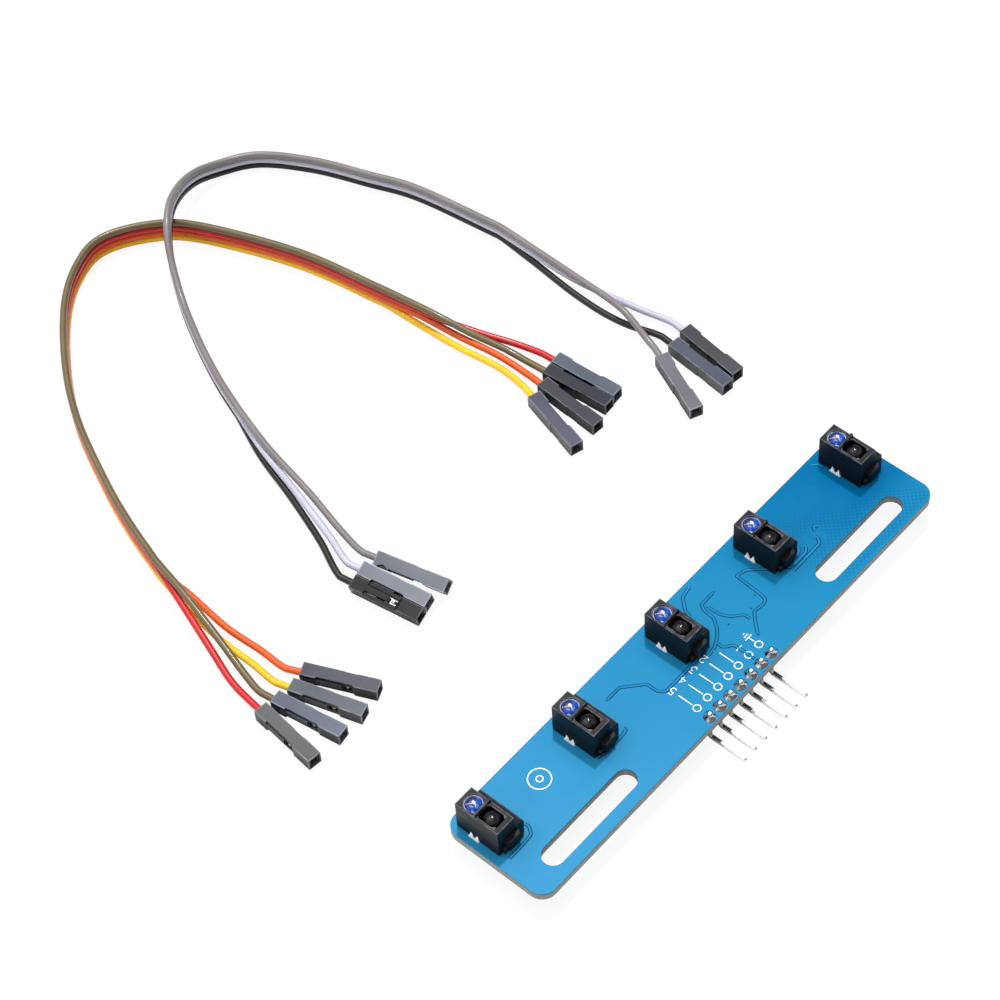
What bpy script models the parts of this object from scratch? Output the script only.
"""Five-channel infrared line-tracking sensor bar with its two ribbons of jumper leads.

The frame's origin is the centre of the circuit board's underside. +X runs along the
board, +Y from the pin header towards the sensors, +Z up through the sensors.
All dimensions are in millimetres and become metres as the meshes are made.
"""
import math
from collections import namedtuple

import bmesh
import bpy
from mathutils import Matrix, Vector

MM = 0.001

# ---- overall dimensions -------------------------------------------------------------
GAP = 0.3                   # between separate pieces
FLOOR_Z = -3.9              # plane the header legs and the leads lie on

BOARD_LENGTH = 97.0
BOARD_WIDTH = 20.0
BOARD_THICKNESS = 1.6
BOARD_CORNER_R = 2.6
SLOT_LENGTH = 20.6          # end to end
SLOT_WIDTH = 3.8            # passes an M3 screw with room to adjust
SLOT_X = 33.3               # slot centres, left and right
SLOT_Y = -6.0
HEADER_HOLE_R = 0.78
LEAD_HOLE_R = 0.6
PATCH_LOW = (-5.0, -6.0)    # corners of the undivided rectangle on the underside
PATCH_HIGH = (3.0, 2.0)

SENSOR_COUNT = 5
SENSOR_PITCH = 22.1
SENSOR_Y = 4.25             # centre of the sensor bodies

HEADER_PITCH = 2.54
HEADER_PINS = 7
HEADER_X = -0.4
HEADER_Y = -8.75

# ---- sensors, measured from the sensor's centre on the board's top --------------------
SENSOR_WIDTH = 5.75         # foot, along X
SENSOR_LENGTH = 8.4         # along Y, without the end clips
SENSOR_STEP_Z = 3.4         # top of the foot
SENSOR_RIM_Z = 6.2          # top rim
CLIP_REACH = 0.85           # each end clip stands out this far (10.1 overall)
CLIP_WIDTH = 2.8
CLIP_Z = (GAP + 0.2, 2.7)
CHIMNEY_X = (-2.83, 0.95)   # the narrower upper part, on the foot's left side
CHIMNEY_INSET = 0.02        # in from each end of the foot
CHIMNEY_LOW_Z = 1.0
FIN_Y = (0.05, 0.6)         # light shield between the windows
FIN_Z = (5.0, 7.0)
WELL_Z = (-1.0, 9.0)        # the wells pass right through the shell
EMITTER_WELL_R = 1.76
EMITTER_WELL_SEGMENTS = 16
DETECTOR_WELL_X = (-2.4, 0.4)
DETECTOR_WELL_Y = (-3.15, -0.2)

LENS_X = -0.95
LENS_LOW_Z = 1.0
LENS_SEGMENTS = 14
DOME_STEPS = 4
DOME_RATIO = 0.85           # dome height over lens radius
EMITTER_Y = 2.4
EMITTER_R = 1.45
EMITTER_SHOULDER_Z = 5.65
EMITTER_LEAD_Y = 1.5
DETECTOR_Y = -1.68
DETECTOR_R = 1.3
DETECTOR_SHOULDER_Z = 5.4
DETECTOR_LEAD_Y = -1.0
LEAD_SPREAD = 1.0           # each device has two leads, either side of its middle
LEAD_SIZE = 0.56
LEAD_Z = (-BOARD_THICKNESS - 1.6, 1.4)

# ---- header and chip ------------------------------------------------------------------
PIN_SIZE = 0.64
PIN_TIP_Y = -16.0
PIN_TOP_Z = BOARD_THICKNESS + 1.15
PIN_TOP_CHAMFER = 0.15
PIN_BEND_CHAMFER = 0.3
PIN_TAPER = 0.35            # length of the tapered tip
PIN_TIP_HALF = 0.12         # half height of the tip's end
LEG_Z = FLOOR_Z + PIN_SIZE / 2
SOLDER_R = (1.1, 0.38)      # low, high
SOLDER_Z = (BOARD_THICKNESS + 0.1, PIN_TOP_Z - 0.25)
SOLDER_SEGMENTS = 12
BASE_LENGTH = HEADER_PITCH * HEADER_PINS - 0.04
BASE_THICKNESS = 0.85
BASE_Y = (-0.68, 1.05)      # front and back edges, from the row of pins
BASE_NOTCH = 0.2
BASE_HOLE = PIN_SIZE + 0.1

CHIP_ORIGIN = (11.05, 3.6, 0.15)
CHIP_WIDTH = 3.9
CHIP_LENGTH = 8.7
CHIP_Z = (-1.9, -GAP - CHIP_ORIGIN[2])
CHIP_BARS = 7               # each bar makes a lead on both sides
CHIP_BAR_PITCH = 1.27
CHIP_BAR_LENGTH = 6.0
CHIP_BAR_WIDTH = 0.4
CHIP_BAR_Z = (-1.35, -1.0)

# ---- jumper leads ---------------------------------------------------------------------
PLUG_LENGTH = 13.0          # single-pin female plug housing
PLUG_SIZE = 2.5
PLUG_BORE = 1.76
PLUG_CLEARANCE = 0.02       # between the floor and a plug's lowest corner
LATCH_Y = (-0.2, 2.6)       # window in one side of the plug
LATCH_WIDTH = 1.2
CONTACT_SIZE = 1.16
CONTACT_START = 1.6         # inside the plug's rear face
CONTACT_INSET = 0.7         # in from the plug's mouth
SOCKET_SIZE = 0.42
SOCKET_DEPTH = 7.2          # from the plug's mouth
OVERCUT = 1.0               # a cutting box goes this far past the faces it opens
WIRE_R = 0.55
WIRE_PITCH = 1.27           # between the wires of a ribbon
FLEX_BACK = 2.6             # bend point, behind the plug's rear face
FLEX_GAP = 0.5              # between the ribbon's wire and the bending tail
TAIL_REACH = (0.6, 2.4)     # last two points of the tail, inside the plug's rear face

# each ribbon stands on edge: wires from the floor up
RIBBON_A = ("yellow", "orange", "red", "brown")
RIBBON_B = ("black", "white", "grey")
# plan (x, y) of each ribbon's middle, from its right-hand fan to its left-hand fan
PATH_A = ((24.9, 89.3), (22.0, 106.7), (15.6, 124.6), (10.4, 131.7), (2.7, 136.3), (-4.3, 135.2),
          (-12.2, 130.2), (-21.6, 120.2), (-28.5, 110.0), (-34.4, 97.5), (-37.8, 88.7), (-40.6, 79.6))
PATH_B = ((49.0, 84.4), (46.8, 101.2), (43.8, 110.5), (39.8, 121.3), (33.9, 130.4), (25.3, 134.0),
          (16.0, 130.9), (8.9, 125.5), (3.4, 118.1), (-2.2, 108.1), (-6.3, 99.2), (-9.0, 91.9))
TRUNK_STEPS = 30
FAN_STEPS = 9
CURVE_SAMPLES = 24          # between two key points, before even spacing
CROSS_SAMPLES = 400         # along each ribbon, to find where they cross
CROSS_RISE = 5.5            # ribbon B climbs over ribbon A
CROSS_SPAN = 20.0           # length of the climb, and of the descent
FAN_RUN_ON = 5.0            # guide point past the bend, sets the wire's last direction

# plug centre in plan, heading from the wire end to the mouth, roll about the length
# (degrees, top towards -X), lift off the floor, the share of the fan the wire keeps its
# ribbon's height for, and the points in plan the wire passes on the way
Fan = namedtuple("Fan", "x y heading roll lift hold points")
FANS = {
    "yellow_right": Fan(23.05, 49.2, -105.9, 0.0, 0.0, 0.15,
                        ((25.1, 81.9), (25.4, 73.0), (26.2, 64.4))),
    "orange_right": Fan(27.4, 49.65, -94.0, 0.0, 0.0, 0.15,
                        ((25.9, 82.5), (26.8, 74.1), (28.0, 66.1))),
    "brown_right": Fan(31.0, 51.0, -85.5, 0.0, 0.0, 0.22,
                       ((26.2, 80.2), (27.7, 72.5), (29.5, 66.2))),
    "red_right": Fan(33.65, 51.35, -86.5, 0.0, 0.0, 0.15,
                     ((26.9, 78.7), (29.3, 71.6), (31.7, 65.6))),
    "grey_right": Fan(42.2, 38.3, -114.0, 0.0, 0.0, 0.74,
                      ((48.8, 75.0), (48.5, 65.6), (48.0, 56.2))),
    "black_right": Fan(47.7, 38.1, -96.0, 0.0, 0.0, 0.82,
                       ((48.2, 76.0), (47.0, 65.0), (47.0, 56.5))),
    "white_right": Fan(50.95, 38.4, -98.0, 0.0, 0.0, 0.15,
                       ((48.7, 70.4), (49.5, 62.0), (50.9, 54.1))),
    "black_left": Fan(-21.4, 46.6, -81.0, 14.0, 0.0, 0.15,
                      ((-12.8, 83.0), (-15.8, 73.5), (-19.5, 63.3))),
    "white_left": Fan(-18.9, 47.0, -81.0, 14.0, 0.63, 0.15,
                      ((-12.2, 83.0), (-15.0, 73.0), (-18.2, 62.3))),
    "grey_left": Fan(-14.9, 46.95, -76.7, 28.0, 0.0, 0.15,
                     ((-11.9, 81.9), (-14.0, 70.7), (-16.2, 61.2))),
    "red_left": Fan(-50.1, 41.4, -96.0, 0.0, 0.0, 0.15,
                    ((-43.4, 71.1), (-46.4, 61.7), (-48.4, 55.4))),
    "brown_left": Fan(-45.5, 41.1, -81.0, 0.0, 0.0, 0.15,
                      ((-42.2, 71.9), (-44.6, 61.0), (-46.2, 54.3))),
    "yellow_left": Fan(-41.4, 40.95, -73.0, 0.0, 0.0, 0.15,
                       ((-42.6, 70.1), (-43.7, 62.0), (-43.8, 55.0))),
    "orange_left": Fan(-37.4, 41.9, -66.0, 0.0, 0.0, 0.15,
                       ((-40.9, 71.6), (-41.6, 63.0), (-41.2, 55.8))),
}
LATCH_UP = "black_left"     # the one plug whose latch window faces up

# base colour, roughness, metallic
MATERIALS = {
    "board": ((0.02, 0.33, 0.62), 0.35, 0.0),
    "shell": ((0.012, 0.012, 0.013), 0.45, 0.0),
    "emitter": ((0.03, 0.10, 0.75), 0.08, 0.0),
    "detector": ((0.006, 0.006, 0.010), 0.10, 0.0),
    "header": ((0.02, 0.02, 0.02), 0.5, 0.0),
    "tin": ((0.62, 0.61, 0.58), 0.25, 1.0),
    "chip": ((0.02, 0.02, 0.022), 0.55, 0.0),
    "plug": ((0.10, 0.11, 0.14), 0.55, 0.0),
    "yellow": ((0.95, 0.62, 0.02), 0.45, 0.0),
    "orange": ((0.92, 0.17, 0.02), 0.45, 0.0),
    "red": ((0.75, 0.02, 0.03), 0.45, 0.0),
    "brown": ((0.26, 0.19, 0.10), 0.45, 0.0),
    "black": ((0.03, 0.03, 0.03), 0.45, 0.0),
    "white": ((0.82, 0.81, 0.86), 0.45, 0.0),
    "grey": ((0.33, 0.31, 0.32), 0.45, 0.0),
}


# ---- scene helpers --------------------------------------------------------------------
for old in list(bpy.data.objects):
    bpy.data.objects.remove(old, do_unlink=True)

PARTS = bpy.data.collections.new("line_tracking_sensor_kit")
CUTTERS = bpy.data.collections.new("cutters")
for collection in (PARTS, CUTTERS):
    bpy.context.scene.collection.children.link(collection)


def material(name):
    found = bpy.data.materials.get(name)
    if found:
        return found
    colour, roughness, metallic = MATERIALS[name]
    made = bpy.data.materials.new(name)
    made.use_nodes = True
    shader = made.node_tree.nodes["Principled BSDF"]
    shader.inputs["Base Color"].default_value = (*colour, 1.0)
    shader.inputs["Roughness"].default_value = roughness
    shader.inputs["Metallic"].default_value = metallic
    made.diffuse_color = (*colour, 1.0)
    return made


def paint(mesh, name):
    """Makes the named material the mesh's only one."""
    mesh.materials.clear()
    mesh.materials.append(material(name))


def add_object(name, data, mat=None, collection=PARTS, parent=None):
    """Adds an object, or an empty where data is None."""
    obj = bpy.data.objects.new(name, data)
    collection.objects.link(obj)
    if mat and not data.materials:
        data.materials.append(material(mat))
    obj.parent = parent
    return obj


def evaluated_mesh(obj):
    bpy.context.view_layer.update()
    return bpy.data.meshes.new_from_object(
        obj.evaluated_get(bpy.context.evaluated_depsgraph_get()))


# ---- shape helpers --------------------------------------------------------------------
def span(size, centre=0.0):
    """Low and high ends of a size about its centre."""
    return centre - size / 2, centre + size / 2


def centred(count, pitch):
    """Offsets of a row of places about its middle, lowest first."""
    return [pitch * (i - (count - 1) / 2) for i in range(count)]


def box_mesh(name, x_span, y_span, z_span):
    mesh = bpy.data.meshes.new(name)
    bm = bmesh.new()
    bmesh.ops.create_cube(bm, size=1.0)
    for vert in bm.verts:
        for axis, (low, high) in enumerate((x_span, y_span, z_span)):
            vert.co[axis] = MM * (low + (high - low) * (vert.co[axis] + 0.5))
    bm.to_mesh(mesh)
    bm.free()
    return mesh


def cone_mesh(name, centre, radii, z_span, segments):
    """An upright cone; radii are those of the low and high ends."""
    mesh = bpy.data.meshes.new(name)
    low, high = z_span
    bm = bmesh.new()
    bmesh.ops.create_cone(bm, cap_ends=True, cap_tris=False, segments=segments,
                          radius1=MM * radii[0], radius2=MM * radii[1], depth=MM * (high - low))
    shift = MM * Vector((*centre, (low + high) / 2))
    bmesh.ops.translate(bm, verts=bm.verts, vec=shift)
    bm.to_mesh(mesh)
    bm.free()
    return mesh


def carve(mesh, steps):
    """The mesh after each (operation, other mesh) Boolean in turn."""
    for operation, other in steps:
        body = add_object("blank", mesh, collection=CUTTERS)
        tool = add_object("cutter", other, collection=CUTTERS)
        tool.hide_render = True
        boolean = body.modifiers.new("bool", "BOOLEAN")
        boolean.operation = operation
        boolean.object = tool
        boolean.solver = "EXACT"
        mesh = evaluated_mesh(body)
        bpy.data.objects.remove(body, do_unlink=True)
        bpy.data.objects.remove(tool, do_unlink=True)
        bm = bmesh.new()
        bm.from_mesh(mesh)
        bmesh.ops.remove_doubles(bm, verts=bm.verts, dist=MM * 0.002)
        bmesh.ops.dissolve_degenerate(bm, edges=bm.edges, dist=MM * 0.001)
        bm.to_mesh(mesh)
        bm.free()
    return mesh


def add_polyline(curve, points, cyclic):
    line = curve.splines.new("POLY")
    line.points.add(len(points) - 1)
    for slot, (x, y, z) in zip(line.points, points):
        slot.co = (MM * x, MM * y, MM * z, 1.0)
    line.use_cyclic_u = cyclic


def curve_to_mesh(curve):
    obj = add_object("guide", curve, collection=CUTTERS)
    mesh = evaluated_mesh(obj)
    bpy.data.objects.remove(obj, do_unlink=True)
    mesh.name = curve.name
    bm = bmesh.new()
    bm.from_mesh(mesh)
    bmesh.ops.remove_doubles(bm, verts=bm.verts, dist=MM * 0.001)
    bmesh.ops.recalc_face_normals(bm, faces=bm.faces)
    bm.to_mesh(mesh)
    bm.free()
    return mesh


def plate_mesh(name, outlines, thickness):
    """A flat plate about z = 0: the first outline is the edge, the others are holes."""
    curve = bpy.data.curves.new(name, "CURVE")
    curve.dimensions = "2D"
    curve.fill_mode = "BOTH"
    curve.extrude = MM * thickness / 2
    for outline in outlines:
        add_polyline(curve, [(x, y, 0.0) for x, y in outline], cyclic=True)
    return curve_to_mesh(curve)


def wire_mesh(name, points):
    curve = bpy.data.curves.new(name, "CURVE")
    curve.dimensions = "3D"
    curve.bevel_depth = MM * WIRE_R
    curve.bevel_resolution = 2
    curve.use_fill_caps = True
    add_polyline(curve, points, cyclic=False)
    return curve_to_mesh(curve)


def rounded_outline(width, height, radius, steps=5):
    points = []
    for corner, (sx, sy) in enumerate(((1, 1), (-1, 1), (-1, -1), (1, -1))):
        cx, cy = sx * (width / 2 - radius), sy * (height / 2 - radius)
        for i in range(steps + 1):
            angle = math.radians(90 * corner + 90 * i / steps)
            points.append((cx + radius * math.cos(angle), cy + radius * math.sin(angle)))
    return points


def ring(cx, cy, radius, count, turn=0.0):
    angles = [turn + 2 * math.pi * i / count for i in range(count)]
    return [(cx + radius * math.cos(angle), cy + radius * math.sin(angle)) for angle in angles]


def slot_outline(cx, cy, length, width, steps=6):
    points = []
    for side in (1, -1):
        for i in range(steps + 1):
            angle = math.radians(-90 + 180 * i / steps) + (0 if side > 0 else math.pi)
            points.append((cx + side * (length - width) / 2 + width / 2 * math.cos(angle),
                           cy + width / 2 * math.sin(angle)))
    return points


# ---- circuit board --------------------------------------------------------------------
def board_holes():
    holes = [slot_outline(side * SLOT_X, SLOT_Y, SLOT_LENGTH, SLOT_WIDTH) for side in (-1, 1)]
    for offset in centred(HEADER_PINS, HEADER_PITCH):
        holes.append(ring(HEADER_X + offset, HEADER_Y, HEADER_HOLE_R, 8, math.pi / 8))
    for sensor_x in centred(SENSOR_COUNT, SENSOR_PITCH):
        for side in (-1, 1):
            for lead_y in (EMITTER_LEAD_Y, DETECTOR_LEAD_Y):
                holes.append(ring(sensor_x + LENS_X + side * LEAD_SPREAD, SENSOR_Y + lead_y,
                                  LEAD_HOLE_R, 6))
    return holes


def single_face(mesh, low, high):
    """Re-divides a plate's underside so that a rectangle of it is one face, flush with
    the rest."""
    bm = bmesh.new()
    bm.from_mesh(mesh)
    bottom = min(vert.co.z for vert in bm.verts)

    def underside(axes):
        """Underside faces whose middle is within the rectangle along the given axes."""
        return [face for face in bm.faces if face.normal.z < -0.9
                and all(MM * low[k] < face.calc_center_median()[k] < MM * high[k] for k in axes)]

    # the two cuts across X run the full width; those across Y stay between them
    for axis in (0, 1):
        for at in (low[axis], high[axis]):
            faces = underside(range(axis))
            edges = list({edge for face in faces for edge in face.edges})
            verts = list({vert for face in faces for vert in face.verts})
            normal = [0.0, 0.0, 0.0]
            normal[axis] = 1.0
            spot = [0.0, 0.0, bottom]
            spot[axis] = MM * at
            bmesh.ops.bisect_plane(bm, geom=faces + edges + verts, dist=1e-8,
                                   plane_co=spot, plane_no=normal)
    bmesh.ops.dissolve_faces(bm, faces=underside((0, 1)), use_verts=True)
    bm.to_mesh(mesh)
    bm.free()


def build_board():
    edge = rounded_outline(BOARD_LENGTH, BOARD_WIDTH, BOARD_CORNER_R)
    mesh = plate_mesh("circuit_board", [edge] + board_holes(), BOARD_THICKNESS)
    single_face(mesh, PATCH_LOW, PATCH_HIGH)
    board = add_object("circuit_board", mesh, "board")
    board.location = (0, 0, MM * BOARD_THICKNESS / 2)


# ---- reflective sensors ---------------------------------------------------------------
def shell_mesh():
    foot = box_mesh("foot", span(SENSOR_WIDTH), span(SENSOR_LENGTH), (GAP, SENSOR_STEP_Z))
    return carve(foot, (
        ("UNION", box_mesh("clips", span(CLIP_WIDTH), span(SENSOR_LENGTH + 2 * CLIP_REACH),
                           CLIP_Z)),
        ("UNION", box_mesh("chimney", CHIMNEY_X, span(SENSOR_LENGTH - 2 * CHIMNEY_INSET),
                           (CHIMNEY_LOW_Z, SENSOR_RIM_Z))),
        ("UNION", box_mesh("fin", CHIMNEY_X, FIN_Y, FIN_Z)),
        ("DIFFERENCE", cone_mesh("emitter_well", (LENS_X, EMITTER_Y),
                                 (EMITTER_WELL_R, EMITTER_WELL_R), WELL_Z,
                                 EMITTER_WELL_SEGMENTS)),
        ("DIFFERENCE", box_mesh("detector_well", DETECTOR_WELL_X, DETECTOR_WELL_Y, WELL_Z)),
    ))


def diode_mesh(name, lens_y, lead_y, radius, shoulder_z):
    """A domed lens body with its two leads."""
    dome = radius * DOME_RATIO
    profile = [(radius, LENS_LOW_Z), (radius, shoulder_z)]
    for i in range(1, DOME_STEPS):
        angle = math.pi / 2 * i / DOME_STEPS
        profile.append((radius * math.cos(angle), shoulder_z + dome * math.sin(angle)))
    bm = bmesh.new()
    rings = [[bm.verts.new((MM * x, MM * y, MM * z))
              for x, y in ring(LENS_X, lens_y, ring_r, LENS_SEGMENTS)] for ring_r, z in profile]
    top = bm.verts.new((MM * LENS_X, MM * lens_y, MM * (shoulder_z + dome)))
    for k in range(LENS_SEGMENTS):
        n = (k + 1) % LENS_SEGMENTS
        for low, high in zip(rings, rings[1:]):
            bm.faces.new((low[k], low[n], high[n], high[k]))
        bm.faces.new((rings[-1][k], rings[-1][n], top))
    bm.faces.new(list(reversed(rings[0])))
    mesh = bpy.data.meshes.new(name)
    bm.to_mesh(mesh)
    bm.free()
    return carve(mesh, [
        ("UNION", box_mesh("lead", span(LEAD_SIZE, LENS_X + side * LEAD_SPREAD),
                           span(LEAD_SIZE, lead_y), LEAD_Z))
        for side in (-1, 1)])


def build_sensors():
    """The sensors share their meshes; number 1 is the rightmost."""
    pieces = (
        ("sensor_shell", "shell", shell_mesh()),
        ("ir_emitter", "emitter", diode_mesh("emitter", EMITTER_Y, EMITTER_LEAD_Y, EMITTER_R,
                                             EMITTER_SHOULDER_Z)),
        ("photo_detector", "detector", diode_mesh("detector", DETECTOR_Y, DETECTOR_LEAD_Y,
                                                  DETECTOR_R, DETECTOR_SHOULDER_Z)),
    )
    for _, mat, mesh in pieces:
        paint(mesh, mat)
        mesh.shade_smooth()
        mesh.set_sharp_from_angle(angle=math.radians(35))
    for number, x in enumerate(reversed(centred(SENSOR_COUNT, SENSOR_PITCH)), 1):
        place = add_object("sensor_place_%d" % number, None)
        place.location = (MM * x, MM * SENSOR_Y, MM * BOARD_THICKNESS)
        for name, _, mesh in pieces:
            add_object("%s_%d" % (name, number), mesh, parent=place)


# ---- pin header with bent pins --------------------------------------------------------
def base_outline():
    """A strip with a V notch in both long edges between neighbouring pins, and its ends'
    corners cut."""
    seams = [BASE_LENGTH * (i / HEADER_PINS - 0.5) for i in range(HEADER_PINS + 1)]
    front, back = BASE_Y
    points = []
    for row, y, inward in ((seams, front, BASE_NOTCH), (seams[::-1], back, -BASE_NOTCH)):
        for start, end in zip(row, row[1:]):
            points += [(start, y + inward), (start + inward, y), (end - inward, y)]
        points.append((row[-1], y + inward))
    return points


def build_header_base():
    """The low base under the board's front edge."""
    half = BASE_HOLE / 2
    holes = [[(x - half, -half), (x + half, -half), (x + half, half), (x - half, half)]
             for x in centred(HEADER_PINS, HEADER_PITCH)]
    mesh = plate_mesh("header_base", [base_outline()] + holes, BASE_THICKNESS)
    base = add_object("header_base", mesh, "header")
    base.location = (MM * HEADER_X, MM * HEADER_Y, -MM * (GAP + BASE_THICKNESS / 2))


def pin_mesh():
    """An L-shaped square pin, with the solder cone around its upper end."""
    half = PIN_SIZE / 2
    tip = PIN_TIP_Y - HEADER_Y
    chamfer_z = PIN_TOP_Z - PIN_TOP_CHAMFER
    leg_top, leg_bottom = LEG_Z + half, LEG_Z - half
    side_view = [   # y, z
        (half, chamfer_z), (half - PIN_TOP_CHAMFER, PIN_TOP_Z),
        (-half + PIN_TOP_CHAMFER, PIN_TOP_Z), (-half, chamfer_z),
        (-half, leg_top), (tip + PIN_TAPER, leg_top),
        (tip, LEG_Z + PIN_TIP_HALF), (tip, LEG_Z - PIN_TIP_HALF),
        (tip + PIN_TAPER, leg_bottom), (half - PIN_BEND_CHAMFER, leg_bottom),
        (half, leg_bottom + PIN_BEND_CHAMFER),
    ]
    mesh = plate_mesh("header_pin", [side_view], PIN_SIZE)
    # stand the plate up: its x, y and z become Y, Z and X
    mesh.transform(Matrix(((0, 0, 1, 0), (1, 0, 0, 0), (0, 1, 0, 0), (0, 0, 0, 1))))
    solder = cone_mesh("solder", (0, 0), SOLDER_R, SOLDER_Z, SOLDER_SEGMENTS)
    return carve(mesh, [("UNION", solder)])


def build_header_pins():
    """Pin 1 is the rightmost."""
    mesh = pin_mesh()
    paint(mesh, "tin")
    for number, offset in enumerate(reversed(centred(HEADER_PINS, HEADER_PITCH)), 1):
        pin = add_object("header_pin_%d" % number, mesh)
        pin.location = (MM * (HEADER_X + offset), MM * HEADER_Y, 0)


# ---- signal chip on the underside -----------------------------------------------------
def build_chip():
    body = box_mesh("chip_body", span(CHIP_WIDTH), span(CHIP_LENGTH), CHIP_Z)
    bars = [("UNION", box_mesh("lead_bar", span(CHIP_BAR_LENGTH), span(CHIP_BAR_WIDTH, y),
                               CHIP_BAR_Z))
            for y in centred(CHIP_BARS, CHIP_BAR_PITCH)]
    chip = add_object("signal_chip", carve(body, bars), "chip")
    chip.location = MM * Vector(CHIP_ORIGIN)


# ---- paths of the ribbons -------------------------------------------------------------
def spline(keys, steps):
    """Evenly spaced points on a Catmull-Rom curve from the second key to the last but one,
    and the curve's length."""
    keys = [Vector(key) for key in keys]
    fine = []
    for a, b, c, d in zip(keys, keys[1:], keys[2:], keys[3:]):
        for i in range(CURVE_SAMPLES):
            t = i / CURVE_SAMPLES
            fine.append(0.5 * (2 * b + (c - a) * t + (2 * a - 5 * b + 4 * c - d) * t ** 2
                               + (3 * b - a - 3 * c + d) * t ** 3))
    fine.append(keys[-2])
    lengths = [0.0]
    for start, end in zip(fine, fine[1:]):
        lengths.append(lengths[-1] + (end - start).length)
    points, j = [], 0
    for i in range(steps + 1):
        want = lengths[-1] * i / steps
        while j < len(lengths) - 2 and lengths[j + 1] < want:
            j += 1
        t = (want - lengths[j]) / (lengths[j + 1] - lengths[j])
        points.append(fine[j].lerp(fine[j + 1], t))
    return points, lengths[-1]


def through(keys, steps):
    """The same, on a smooth curve through all the key points."""
    keys = [Vector(key) for key in keys]
    return spline([2 * keys[0] - keys[1]] + keys + [2 * keys[-1] - keys[-2]], steps)


def smooth(t):
    t = min(1.0, max(0.0, t))
    return t * t * (3 - 2 * t)


def crossing_rises():
    """Ribbon B's extra height at each trunk point, a hump where it crosses ribbon A."""
    path_a, _ = through(PATH_A, CROSS_SAMPLES)
    path_b, length = through(PATH_B, CROSS_SAMPLES)
    _, nearest = min((((a - b).length, j) for a in path_a for j, b in enumerate(path_b)),
                     key=lambda pair: pair[0])
    cross_at = length * nearest / CROSS_SAMPLES
    rises = []
    for i in range(TRUNK_STEPS + 1):
        away = min(1.0, abs(length * i / TRUNK_STEPS - cross_at) / CROSS_SPAN)
        rises.append(CROSS_RISE * (0.5 + 0.5 * math.cos(math.pi * away)))
    return rises


def plug_z(fan):
    """Height of a plug's axis when its lowest corner rests on the floor, plus its lift."""
    roll = math.radians(fan.roll)
    reach = PLUG_SIZE / 2 * (abs(math.cos(roll)) + abs(math.sin(roll)))
    return FLOOR_Z + PLUG_CLEARANCE + fan.lift + reach


def bend_point(fan):
    """Plan of the bend behind a plug, and the plug's direction."""
    angle = math.radians(fan.heading)
    along = Vector((math.cos(angle), math.sin(angle)))
    return Vector((fan.x, fan.y)) - along * (PLUG_LENGTH / 2 + FLEX_BACK), along


def fan_points(before, end, level_z, fan):
    """Points from a ribbon's end, itself left out, to just short of a plug's bend."""
    bend, along = bend_point(fan)
    plan, _ = spline([before, end, *fan.points, bend, bend + along * FAN_RUN_ON], FAN_STEPS)
    points = []
    for i, spot in enumerate(plan[1:], 1):
        drop = smooth((i / FAN_STEPS - fan.hold) / (1 - fan.hold))
        points.append(Vector((spot.x, spot.y, level_z + (plug_z(fan) - level_z) * drop)))
    points[-1] = points[-1] + (points[-2] - points[-1]).normalized() * (FLEX_GAP / 2)
    return points


# ---- jumper leads ---------------------------------------------------------------------
def plug_mesh():
    """A square tube along Y with a latch window in its -X side."""
    half = PLUG_SIZE / 2
    return carve(box_mesh("plug", span(PLUG_SIZE), span(PLUG_LENGTH), span(PLUG_SIZE)), (
        ("DIFFERENCE", box_mesh("bore", span(PLUG_BORE), span(PLUG_LENGTH + 2 * OVERCUT),
                                span(PLUG_BORE))),
        ("DIFFERENCE", box_mesh("latch_window", (-half - OVERCUT, 0), LATCH_Y,
                                span(LATCH_WIDTH))),
    ))


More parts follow.
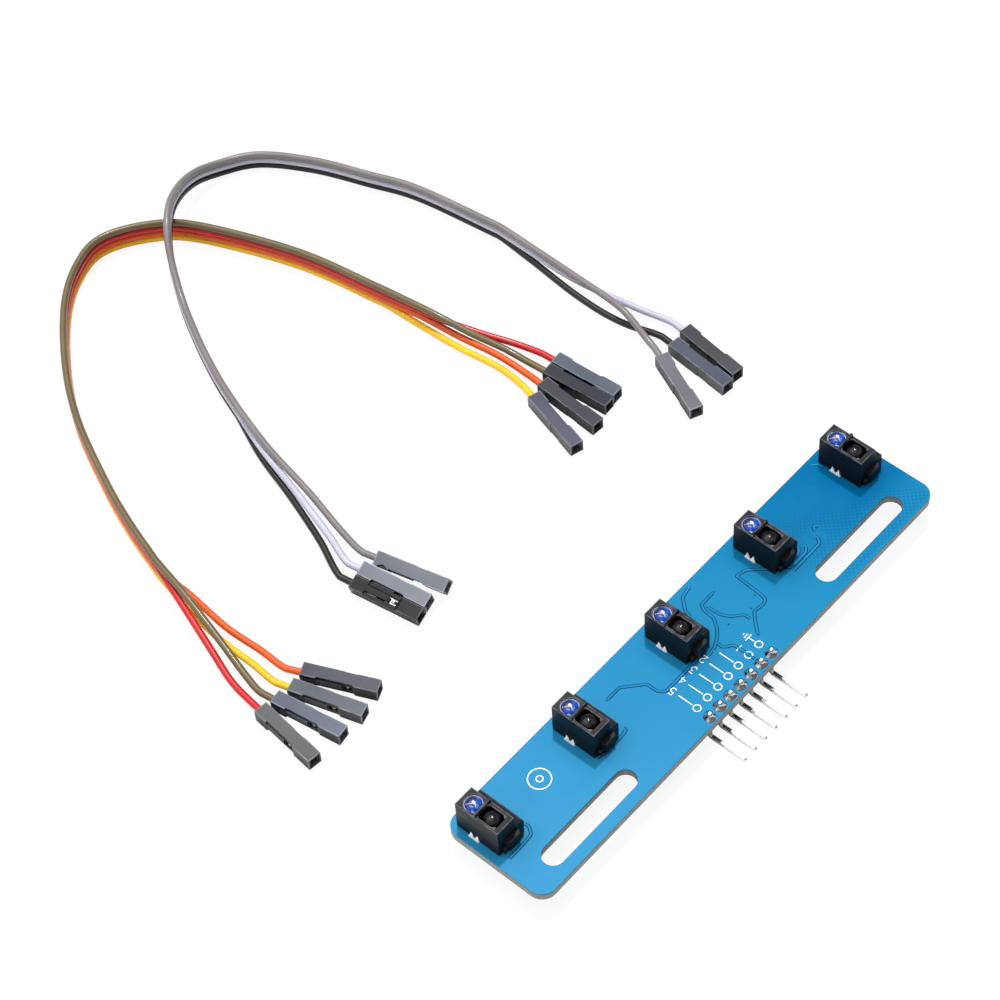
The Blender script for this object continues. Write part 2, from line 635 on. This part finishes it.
def tail_mesh(name):
    """Wire end with its crimped socket contact; local +Y runs from the bend to the mouth."""
    start = FLEX_GAP / 2
    mouth = FLEX_BACK + PLUG_LENGTH
    stations = [start, (start + FLEX_BACK) / 2] + [FLEX_BACK + reach for reach in TAIL_REACH]
    return carve(wire_mesh(name, [(0, y, 0) for y in stations]), (
        ("UNION", box_mesh("contact", span(CONTACT_SIZE),
                           (FLEX_BACK + CONTACT_START, mouth - CONTACT_INSET),
                           span(CONTACT_SIZE))),
        ("DIFFERENCE", box_mesh("socket", span(SOCKET_SIZE), (mouth - SOCKET_DEPTH, mouth),
                                span(SOCKET_SIZE))),
    ))


def latch_turn(key):
    """Turns the latch window to +X on right-hand plugs, and to -X or up on left-hand ones."""
    if key.endswith("right"):
        return 0.0
    return math.pi / 2 if key == LATCH_UP else math.pi


def build_end(wire, side, plug):
    """A bend empty carrying the wire's end and its plug."""
    key = "%s_%s" % (wire, side)
    fan = FANS[key]
    spot, _ = bend_point(fan)
    bend = add_object("bend_" + key, None)
    bend.location = (MM * spot.x, MM * spot.y, MM * plug_z(fan))
    bend.rotation_euler = (0, math.radians(fan.roll), math.radians(fan.heading - 90))
    name = "%s_wire_end_%s" % (wire, side)
    tail = tail_mesh(name)
    paint(tail, wire)
    add_object(name, tail, parent=bend)
    housing = add_object("%s_plug_%s" % (wire, side), plug, parent=bend)
    housing.location = (0, MM * (FLEX_BACK + PLUG_LENGTH / 2), 0)
    housing.rotation_euler = (0, latch_turn(key), 0)


def build_ribbon(wires, path, rises, plug):
    plan, _ = through(path, TRUNK_STEPS)
    for level, wire in enumerate(wires):
        z = FLOOR_Z + WIRE_PITCH * (level + 0.5)
        trunk = [Vector((spot.x, spot.y, z + rise)) for spot, rise in zip(plan, rises)]
        right = fan_points(plan[1], plan[0], trunk[0].z, FANS[wire + "_right"])
        left = fan_points(plan[-2], plan[-1], trunk[-1].z, FANS[wire + "_left"])
        name = wire + "_wire"
        mesh = wire_mesh(name, right[::-1] + trunk + left)
        mesh.shade_smooth()
        add_object(name, mesh, wire)
        for side in ("right", "left"):
            build_end(wire, side, plug)


def build_leads():
    plug = plug_mesh()
    paint(plug, "plug")
    build_ribbon(RIBBON_A, PATH_A, [0.0] * (TRUNK_STEPS + 1), plug)
    build_ribbon(RIBBON_B, PATH_B, crossing_rises(), plug)


build_board()
build_sensors()
build_header_base()
build_header_pins()
build_chip()
build_leads()
